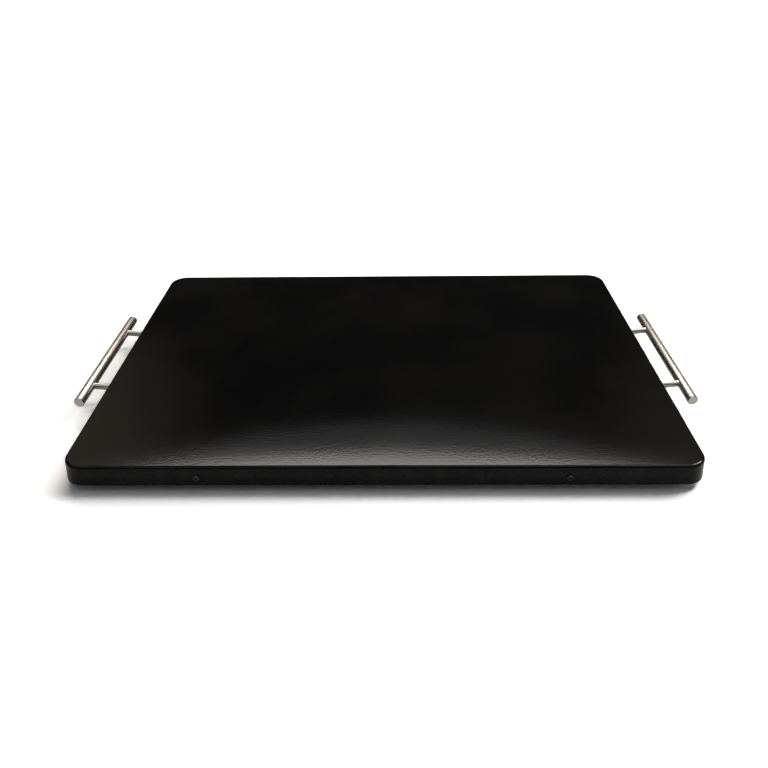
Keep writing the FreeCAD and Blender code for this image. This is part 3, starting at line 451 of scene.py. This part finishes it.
def make_finishes(tones):
    """Every finish of the tray, under the name of its slot in the record."""
    return {
        "black_coating": black_enamel(tones),
        "zinc_plated_sheet": zinc("zinc plated pan", tones, roughness=0.36),
        "zinc_plated_hardware": zinc("zinc plated hardware", tones, roughness=0.30),
        "blackened_screws": blackened_steel(),
        "brushed_stainless": brushed_steel("brushed bars", tones, grain="Y"),
        "foot_rubber": rubber("foot rubber", tones.rubber, tones.rubber_bloom),
        "seal_rubber": rubber("seal rubber", (0.020, 0.020, 0.021), (0.045, 0.044, 0.043)),
        "black_nylon": moulded(
            "gland nylon", (0.014, 0.014, 0.015), (0.030, 0.030, 0.031), roughness=0.42),
        "switch_housing_plastic": moulded(
            "switch housing", (0.018, 0.018, 0.019), (0.034, 0.034, 0.035), roughness=0.38),
        "rocker_plastic": moulded(
            "rocker", (0.022, 0.022, 0.023), (0.042, 0.042, 0.043), roughness=0.30, grain=900),
        "switch_marks": moulded(
            "switch marks", (0.66, 0.66, 0.64), (0.80, 0.80, 0.78), roughness=0.40),
        "reset_red": moulded(
            "reset button", (0.42, 0.018, 0.012), (0.55, 0.035, 0.022), roughness=0.34),
        "phenolic": moulded(
            "phenolic case", (0.030, 0.020, 0.014), (0.060, 0.040, 0.028), roughness=0.40,
            grain=700, relief=0.05 * MM),
        "white_ceramic": ceramic("terminal ceramic"),
        "mica": mineral(
            "mica sheet", (0.36, 0.31, 0.22), (0.60, 0.55, 0.42), scale=160, relief=0.05 * MM,
            roughness=0.33),
        "ceramic_fibre": mineral(
            "ceramic fibre", (0.70, 0.68, 0.62), (0.86, 0.85, 0.81), scale=520, relief=0.4 * MM,
            roughness=0.80),
        "aluminium_sheet": bare_metal(
            "aluminium sheet", (0.62, 0.63, 0.65), (0.80, 0.81, 0.82), roughness=0.26),
        "heating_alloy": bare_metal(
            "heating alloy", (0.24, 0.19, 0.15), (0.46, 0.43, 0.40), roughness=0.36),
        "brass_contacts": bare_metal(
            "brass contacts", (0.44, 0.30, 0.12), (0.72, 0.54, 0.25), roughness=0.24),
        "lead_sleeve": sleeve("lead sleeve", (0.66, 0.64, 0.57), (0.46, 0.42, 0.34)),
        "earth_sleeve": sleeve("earth sleeve", (0.16, 0.34, 0.08), (0.52, 0.48, 0.06)),
    }


def finish_of(slot):
    """The finish made for a slot of the record."""
    if not finishes:
        finishes.update(make_finishes(bpy.context.scene.warmer_tones))
    return finishes[slot]


def dress_slots(*slots):
    """Give each CAD node of these slots its finish."""
    for node in frame["nodes"].values():
        for index, held in enumerate(node.data.materials):
            slot = held.name.split(".")[0] if held else ""
            if slot in slots:
                node.data.materials[index] = finish_of(slot)


# Pieces

def brush_posts(tones):
    """Brush lines along the posts, which lie across the bars."""
    steel = brushed_steel("brushed posts", tones, grain="X")
    for name, node in frame["nodes"].items():
        if name.endswith("_post"):
            for index in range(len(node.data.materials)):
                node.data.materials[index] = steel


def cap_ribs(sizes):
    """Grip ribs round the gland's clamping cap, for fingers or a spanner."""
    place = wall_frame("gland_cap")
    low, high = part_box("gland_cap")
    radius = (high.x - low.x) / 2
    length = (high.y - low.y) - 2 * radius * math.sin(DRAFT)
    base = (low.y + high.y) / 2 - place.translation.y
    width = math.pi * radius / sizes.cap_ribs
    root = radius - RIB_ROOT
    crest = radius + sizes.cap_rib_height
    outline = [(root, -width / 2), (crest, -width / 4), (crest, width / 4), (root, width / 2)]
    mesh_data = bmesh.new()
    for k in range(sizes.cap_ribs):
        turn = Matrix.Rotation(2 * math.pi * k / sizes.cap_ribs, 4, "Z")
        slab(mesh_data, outline, base - RIB_REACH * length, base + RIB_REACH * length, place @ turn)
    nylon = finish_of("black_nylon")
    finish_mesh("gland_cap_ribs", mesh_data, nylon, "root", smooth=False)


def rocker_face(end):
    """The frame on one half of the rocker's hollowed face, at rest: X along the rocker, Z out of it."""
    joint = next(joint for joint in frame["joints"] if joint["name"] == "rocker_tip")
    across = Vector((1.0, 0.0, 0.0))
    upright = Vector(joint["axis"]).normalized()
    outward = across.cross(upright)
    pivot = Matrix.Translation(joint["pos_m"]) @ Matrix((across, upright, outward)).transposed().to_4x4()
    tilt = Matrix.Rotation(-ROCKER_TILT, 4, "Y")
    slope = Matrix.Rotation(-end * math.atan(ROCKER_DIP / ROCKER_HALF), 4, "Y")
    middle = Matrix.Translation((end * ROCKER_HALF / 2, 0, ROCKER_FACE))
    return pivot @ tilt @ middle @ slope


def rocker_marks(sizes):
    """The plain bar and ring that stand for on and off, moulded on the two halves of the rocker."""
    stroke = sizes.mark_stroke / 2
    reach = sizes.mark_size / 2
    root = -MARK_ROOT
    crest = sizes.mark_height
    mesh_data = bmesh.new()
    bar = [(-stroke, -reach), (stroke, -reach), (stroke, reach), (-stroke, reach)]
    slab(mesh_data, bar, root, crest, rocker_face(1))
    inner, outer = reach - stroke, reach + stroke
    ring = [(inner, root), (inner, crest), (outer, crest), (outer, root), (inner, root)]
    lathe(mesh_data, ring, rocker_face(-1), steps=40)
    finish_mesh("rocker_marks", mesh_data, finish_of("switch_marks"), "rocker")


def foot_rings(sizes):
    """Moulded grip rings round the foot of each rubber foot."""
    bead = sizes.foot_ring_size
    mesh_data = bmesh.new()
    for corner in ("front_left_foot", "front_right_foot", "rear_left_foot", "rear_right_foot"):
        low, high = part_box(corner)
        centre = (low + high) / 2
        outer = (high.x - low.x) / 2
        for k in range(sizes.foot_rings):
            part = RING_FIRST + RING_STEP * k
            height = part * (high.z - low.z)
            radius = outer - (outer - FOOT_TOP_RADIUS) * part
            back = arc((radius - RING_SINK * bead, height), bead, -RING_SWEEP, RING_SWEEP, steps=6)
            profile = [(radius - bead, height - bead), *back, (radius - bead, height + bead)]
            lathe(mesh_data, profile, Matrix.Translation((centre.x, centre.y, 0)), steps=72)
    finish_mesh("foot_rings", mesh_data, finish_of("foot_rubber"), "root")


# Stage

def card_material(tone):
    """Matt paint with a faint mottle."""
    finish = Finish("dark card", Metallic=0.0, Roughness=0.9)
    mottled = 0.97 * tone
    paint = finish.blend(finish.noise(scale=3.0), (mottled, mottled, mottled), (tone, tone, tone))
    finish.set("Base Color", paint)
    return finish.data


def floor_material(settings):
    """White floor: lifted to full white for the camera alone, so it still takes the tray's shadow."""
    finish = Finish("studio floor", Metallic=0.0, Roughness=0.95, Specular_IOR_Level=0.0,
                    Emission_Strength=1.0)
    camera = finish.ray("Camera")
    paint = finish.blend(finish.noise(scale=2.5), (0.78, 0.78, 0.78), (0.80, 0.80, 0.80))
    gain = settings.floor_gain
    finish.set("Base Color", finish.blend(camera, paint, (gain, gain, gain)))
    reach = (finish.axis("X") ** 2 + finish.axis("Y") ** 2) ** 0.5
    far = reach.above(settings.floor_fade, 2 * settings.floor_fade)
    finish.set("Emission Color", finish.blend(camera * far, (0.0, 0.0, 0.0), (1.0, 1.0, 1.0)))
    return finish.data


def lay_floor(settings):
    """A large plain floor under the feet."""
    half = settings.floor_size / 2
    corners = [(-half, -half, 0.0), (half, -half, 0.0), (half, half, 0.0), (-half, half, 0.0)]
    floor = stage_mesh("studio_floor", corners, [(0, 1, 2, 3)], floor_material(settings))


def stand_cards(settings):
    """A ring of dark cards, seen only in reflections, whose upper edge ends the dark part of the gloss."""
    distance = settings.card_distance
    corners = []
    for elevation in (settings.card_low, settings.card_high):
        corners += round_corners(distance, distance * math.tan(elevation), CARD_COUNT)
    faces = []
    for k in range(CARD_COUNT):
        ahead = (k + 1) % CARD_COUNT
        faces.append((k, ahead, CARD_COUNT + ahead, CARD_COUNT + k))
    cards = stage_mesh("dark_cards", corners, faces, card_material(settings.card_tone))
    cards.visible_camera = False
    cards.visible_diffuse = False
    cards.visible_shadow = False


def hang_lamp(name, place, target, size, power, colour=WHITE_LIGHT, shape="ELLIPSE", soft=False):
    """A soft box that faces a point and that the camera doesn't see; a soft one fades towards its rim."""
    light = bpy.data.lights.new(name, "AREA")
    light.shape = shape
    light.size, light.size_y = size
    light.energy = power
    light.color = colour
    if soft:
        glow = Graph(light, "Emission")
        spot = glow.node("ShaderNodeNewGeometry", output="Position")
        offset = glow.node("ShaderNodeVectorMath", {"operation": "DISTANCE"}, (spot, place), "Value")
        glow.set("Strength", 1 - offset.above(0.0, max(size) / 2))
    lamp = bpy.data.objects.new(name, light)
    lamp.location = place
    lamp.rotation_euler = (Vector(target) - Vector(place)).to_track_quat("-Z", "Y").to_euler()
    lamp.visible_camera = False
    bpy.context.scene.collection.objects.link(lamp)


def hang_lamps(settings):
    """The band lamp for the bright front of the gloss, the soft boxes, and two dim warm lamps behind."""
    hang_lamp("band_lamp", place=(-0.02, 2.07, 2.215), target=(-0.02, -0.2, 0), size=(3.5, 0.5),
              power=settings.band_power, colour=BAND_LIGHT)
    hang_lamp("key_lamp", place=(0.9, 0.9, 2.6), target=(0, 0, 0), size=(2.0, 1.3),
              power=settings.key_power)
    hang_lamp("corner_lamp", place=(2.1, 0.95, 2.2), target=(0, 0, 0), size=(1.1, 1.1),
              power=settings.corner_power)
    hang_lamp("top_lamp", place=(0.2, -0.7, 2.6), target=(0, 0, 0), size=(1.6, 1.2),
              power=settings.top_power, shape="RECTANGLE")
    for side, power in ((-1, settings.left_power), (1, settings.right_power)):
        hang_lamp("warm_lamp", place=(1.78 * side, 1.95, 1.82), target=(0, -0.1, 0), size=(2.1, 1.8),
                  power=power, colour=WARM_LIGHT, soft=True)


def light_world(settings):
    """White to the camera, in gloss and through glass, and a soft light that comes mostly from above."""
    world = Graph(bpy.data.worlds.new("studio"), "Background")
    direction = world.node("ShaderNodeTexCoord", output="Generated")
    height = world.node("ShaderNodeSeparateXYZ", None, (direction,), output="Z")
    sky = settings.ambient * height.above(settings.ambient_low, settings.ambient_high)
    shown = (world.ray("Camera") + world.ray("Glossy") + world.ray("Transmission")).clamp()
    world.set("Strength", shown + (1 - shown) * sky)
    world.set("Color", WHITE_LIGHT)
    bpy.context.scene.world = world.data


def set_camera(settings):
    """The photograph's viewpoint, fitted to the cover's corners and the bars."""
    pitch, yaw, roll = settings.camera_pitch, settings.camera_yaw, settings.camera_roll
    level = math.cos(pitch)
    forward = Vector((math.sin(yaw) * level, math.cos(yaw) * level, -math.sin(pitch)))
    right = Vector((math.cos(yaw), -math.sin(yaw), 0.0))
    down = forward.cross(right)
    across = math.cos(roll) * right + math.sin(roll) * down
    upright = math.sin(roll) * right - math.cos(roll) * down
    turn = Matrix((across, upright, -forward)).transposed().to_4x4()
    data = bpy.data.cameras.new("camera")
    data.sensor_width = SENSOR_WIDTH
    data.sensor_fit = "HORIZONTAL"
    data.lens = settings.camera_lens
    data.clip_end = CAMERA_REACH
    camera = bpy.data.objects.new("camera", data)
    camera.matrix_world = Matrix.Translation(settings.camera_place) @ turn
    bpy.context.scene.collection.objects.link(camera)
    bpy.context.scene.camera = camera


# Settings

def colour_setting(name, description, default):
    return bpy.props.FloatVectorProperty(name=name, description=description, default=default,
                                         subtype="COLOR", size=3, min=0.0, max=1.0)


def length_setting(name, description, default):
    return bpy.props.FloatProperty(name=name, description=description, default=default,
                                   unit="LENGTH", subtype="DISTANCE", min=0.0)


def number_setting(name, description, default):
    return bpy.props.FloatProperty(name=name, description=description, default=default, min=0.0)


def count_setting(name, description, default, low, high):
    return bpy.props.IntProperty(name=name, description=description, default=default, min=low, max=high)


def angle_setting(name, description, default):
    return bpy.props.FloatProperty(name=name, description=description, default=math.radians(default),
                                   unit="ROTATION", subtype="ANGLE")


class WarmerTones(bpy.types.PropertyGroup):
    """Colours and sheen of what is seen from outside."""
    enamel: colour_setting("Enamel", "Black coating of the cover", (0.0042, 0.0040, 0.0038))
    enamel_deep: colour_setting(
        "Enamel, deep", "Black coating where it lies thicker", (0.0022, 0.0021, 0.0021))
    enamel_worn: colour_setting(
        "Enamel, rubbed", "Black coating rubbed thin along its edges", (0.035, 0.033, 0.031))
    steel: colour_setting("Steel", "Light tone of the brushed bars", (0.44, 0.41, 0.36))
    steel_dark: colour_setting("Steel, grooves", "Dark tone of the brush lines", (0.33, 0.305, 0.265))
    steel_warm: colour_setting("Steel, handled", "Tone where hands have left a film", (0.34, 0.29, 0.235))
    steel_roughness: number_setting("Steel roughness", "How matt the brushed bars are", 0.26)
    zinc: colour_setting("Zinc", "Light crystals of the zinc plating", (0.60, 0.61, 0.63))
    zinc_dark: colour_setting("Zinc, dark", "Dark crystals of the zinc plating", (0.50, 0.51, 0.53))
    rubber: colour_setting("Rubber", "Rubber of the feet", (0.016, 0.016, 0.016))
    rubber_bloom: colour_setting("Rubber bloom", "Chalky film on the rubber", (0.055, 0.054, 0.052))


class WarmerSizes(bpy.types.PropertyGroup):
    """Sizes of the small details that the solids don't carry."""
    cap_ribs: count_setting("Cap ribs", "Grip ribs round the gland's cap", 18, low=6, high=40)
    cap_rib_height: length_setting("Cap rib height", "How far each rib stands out of the cap", 0.3 * MM)
    mark_size: length_setting("Mark size", "Height of the on and off marks", 2.2 * MM)
    mark_stroke: length_setting("Mark stroke", "Width of the marks' strokes", 0.45 * MM)
    mark_height: length_setting("Mark height", "How far the marks stand out of the rocker", 0.12 * MM)
    foot_rings: count_setting("Foot rings", "Grip rings round each foot", 3, low=0, high=5)
    foot_ring_size: length_setting("Foot ring size", "Radius of each ring's round back", 0.45 * MM)


class WarmerStudio(bpy.types.PropertyGroup):
    """The camera, the lamps, the cards and the floor."""
    camera_place: bpy.props.FloatVectorProperty(
        name="Camera place", description="Where the camera stands", size=3, unit="LENGTH",
        subtype="TRANSLATION", default=(0.01329, -0.75244, 0.47903))
    camera_pitch: angle_setting("Camera pitch", "How far the camera looks down", 33.535)
    camera_yaw: angle_setting("Camera yaw", "How far the camera turns from the depth axis", -1.120)
    camera_roll: angle_setting("Camera roll", "How far the camera tips to its side", 0.847)
    camera_lens: bpy.props.FloatProperty(
        name="Lens", description="Focal length in millimetres", default=32.765, unit="CAMERA")
    floor_size: length_setting("Floor size", "Side of the floor", 14.0)
    floor_fade: length_setting("Floor fade", "Radius where the floor starts to turn plain white", 0.9)
    floor_gain: number_setting("Floor brightness", "White of the floor as the camera sees it", 1.5)
    card_distance: length_setting("Card distance", "How far the dark cards stand from the tray", 3.0)
    card_low: angle_setting("Card foot", "Height of the cards' lower edge over the horizon", 7)
    card_high: angle_setting("Card top", "Height of the cards' upper edge over the horizon", 38.5)
    card_tone: number_setting("Card tone", "How light the dark cards are", 0.03)
    ambient: number_setting("Ambient light", "Strength of the even light from above", 0.12)
    ambient_low: number_setting(
        "Ambient foot", "Sine of the elevation where the even light starts", 0.05)
    ambient_high: number_setting(
        "Ambient top", "Sine of the elevation where the even light is full", 0.80)
    band_power: number_setting(
        "Band lamp", "Power of the narrow lamp that lights the front band of gloss, in watts", 58)
    key_power: number_setting(
        "Key lamp", "Power of the soft box behind and over the tray, in watts", 22)
    corner_power: number_setting(
        "Corner lamp", "Power of the soft box behind on the right, in watts", 64)
    top_power: number_setting(
        "Top lamp", "Power of the soft box in front and over the tray, in watts", 2)
    left_power: number_setting(
        "Left lamp", "Power of the warm lamp behind on the left, in watts", 8.32)
    right_power: number_setting(
        "Right lamp", "Power of the warm lamp behind on the right, in watts", 3.9)


# Operators

class WARMER_OT_cover(bpy.types.Operator):
    """Finish the coated cover and its skirt screws"""
    bl_idname = "warmer.cover"
    bl_label = "Coated cover"

    def execute(self, context):
        dress_slots("black_coating", "blackened_screws")
        return {"FINISHED"}


class WARMER_OT_handles(bpy.types.Operator):
    """Brush the two bars and the four posts that carry them"""
    bl_idname = "warmer.handles"
    bl_label = "Bar handles"

    def execute(self, context):
        dress_slots("brushed_stainless")
        brush_posts(context.scene.warmer_tones)
        return {"FINISHED"}


class WARMER_OT_base(bpy.types.Operator):
    """Finish the underside: the plated pan and the rubber feet with their rings"""
    bl_idname = "warmer.base"
    bl_label = "Base and feet"

    def execute(self, context):
        dress_slots("zinc_plated_sheet", "zinc_plated_hardware", "foot_rubber", "seal_rubber")
        foot_rings(context.scene.warmer_sizes)
        return {"FINISHED"}


class WARMER_OT_gland(bpy.types.Operator):
    """Finish the cable gland and rib its clamping cap"""
    bl_idname = "warmer.gland"
    bl_label = "Cable gland"

    def execute(self, context):
        dress_slots("black_nylon")
        cap_ribs(context.scene.warmer_sizes)
        return {"FINISHED"}


class WARMER_OT_switch(bpy.types.Operator):
    """Finish the rocker switch, its marks and the reset button"""
    bl_idname = "warmer.switch"
    bl_label = "Switch and reset"

    def execute(self, context):
        dress_slots("switch_housing_plastic", "rocker_plastic", "reset_red", "phenolic")
        rocker_marks(context.scene.warmer_sizes)
        return {"FINISHED"}


class WARMER_OT_stack(bpy.types.Operator):
    """Finish the heater stack and the wiring inside the cover"""
    bl_idname = "warmer.stack"
    bl_label = "Heater and wiring"

    def execute(self, context):
        dress_slots("white_ceramic", "mica", "ceramic_fibre", "aluminium_sheet", "heating_alloy",
                    "brass_contacts", "lead_sleeve", "earth_sleeve")
        return {"FINISHED"}


class WARMER_OT_stage(bpy.types.Operator):
    """Lay the white floor, set the camera, the lamps, the cards and the world"""
    bl_idname = "warmer.stage"
    bl_label = "Studio"

    def execute(self, context):
        studio = context.scene.warmer_studio
        context.scene.view_settings.view_transform = "Standard"
        lay_floor(studio)
        stand_cards(studio)
        light_world(studio)
        hang_lamps(studio)
        set_camera(studio)
        return {"FINISHED"}


class WARMER_PT_panel(bpy.types.Panel):
    """The tray's steps, in the order that they run"""
    bl_label = "Warmer tray"
    bl_space_type = "VIEW_3D"
    bl_region_type = "UI"
    bl_category = "Warmer tray"

    def draw(self, context):
        for operator in OPERATORS:
            self.layout.operator(operator.bl_idname)


OPERATORS = (WARMER_OT_cover, WARMER_OT_handles, WARMER_OT_base, WARMER_OT_gland, WARMER_OT_switch,
             WARMER_OT_stack, WARMER_OT_stage)
GROUPS = {"warmer_tones": WarmerTones, "warmer_sizes": WarmerSizes, "warmer_studio": WarmerStudio}


def register():
    for group in GROUPS.values():
        bpy.utils.register_class(group)
    for name, group in GROUPS.items():
        setattr(bpy.types.Scene, name, bpy.props.PointerProperty(type=group))
    for operator in OPERATORS:
        bpy.utils.register_class(operator)
    bpy.utils.register_class(WARMER_PT_panel)


def unregister():
    bpy.utils.unregister_class(WARMER_PT_panel)
    for operator in reversed(OPERATORS):
        bpy.utils.unregister_class(operator)
    for name in GROUPS:
        delattr(bpy.types.Scene, name)
    for group in reversed(GROUPS.values()):
        bpy.utils.unregister_class(group)


def main():
    """Run every step in order."""
    register()
    for operator in OPERATORS:
        group, name = operator.bl_idname.split(".")
        getattr(getattr(bpy.ops, group), name)()


if __name__ == "__main__":
    main()
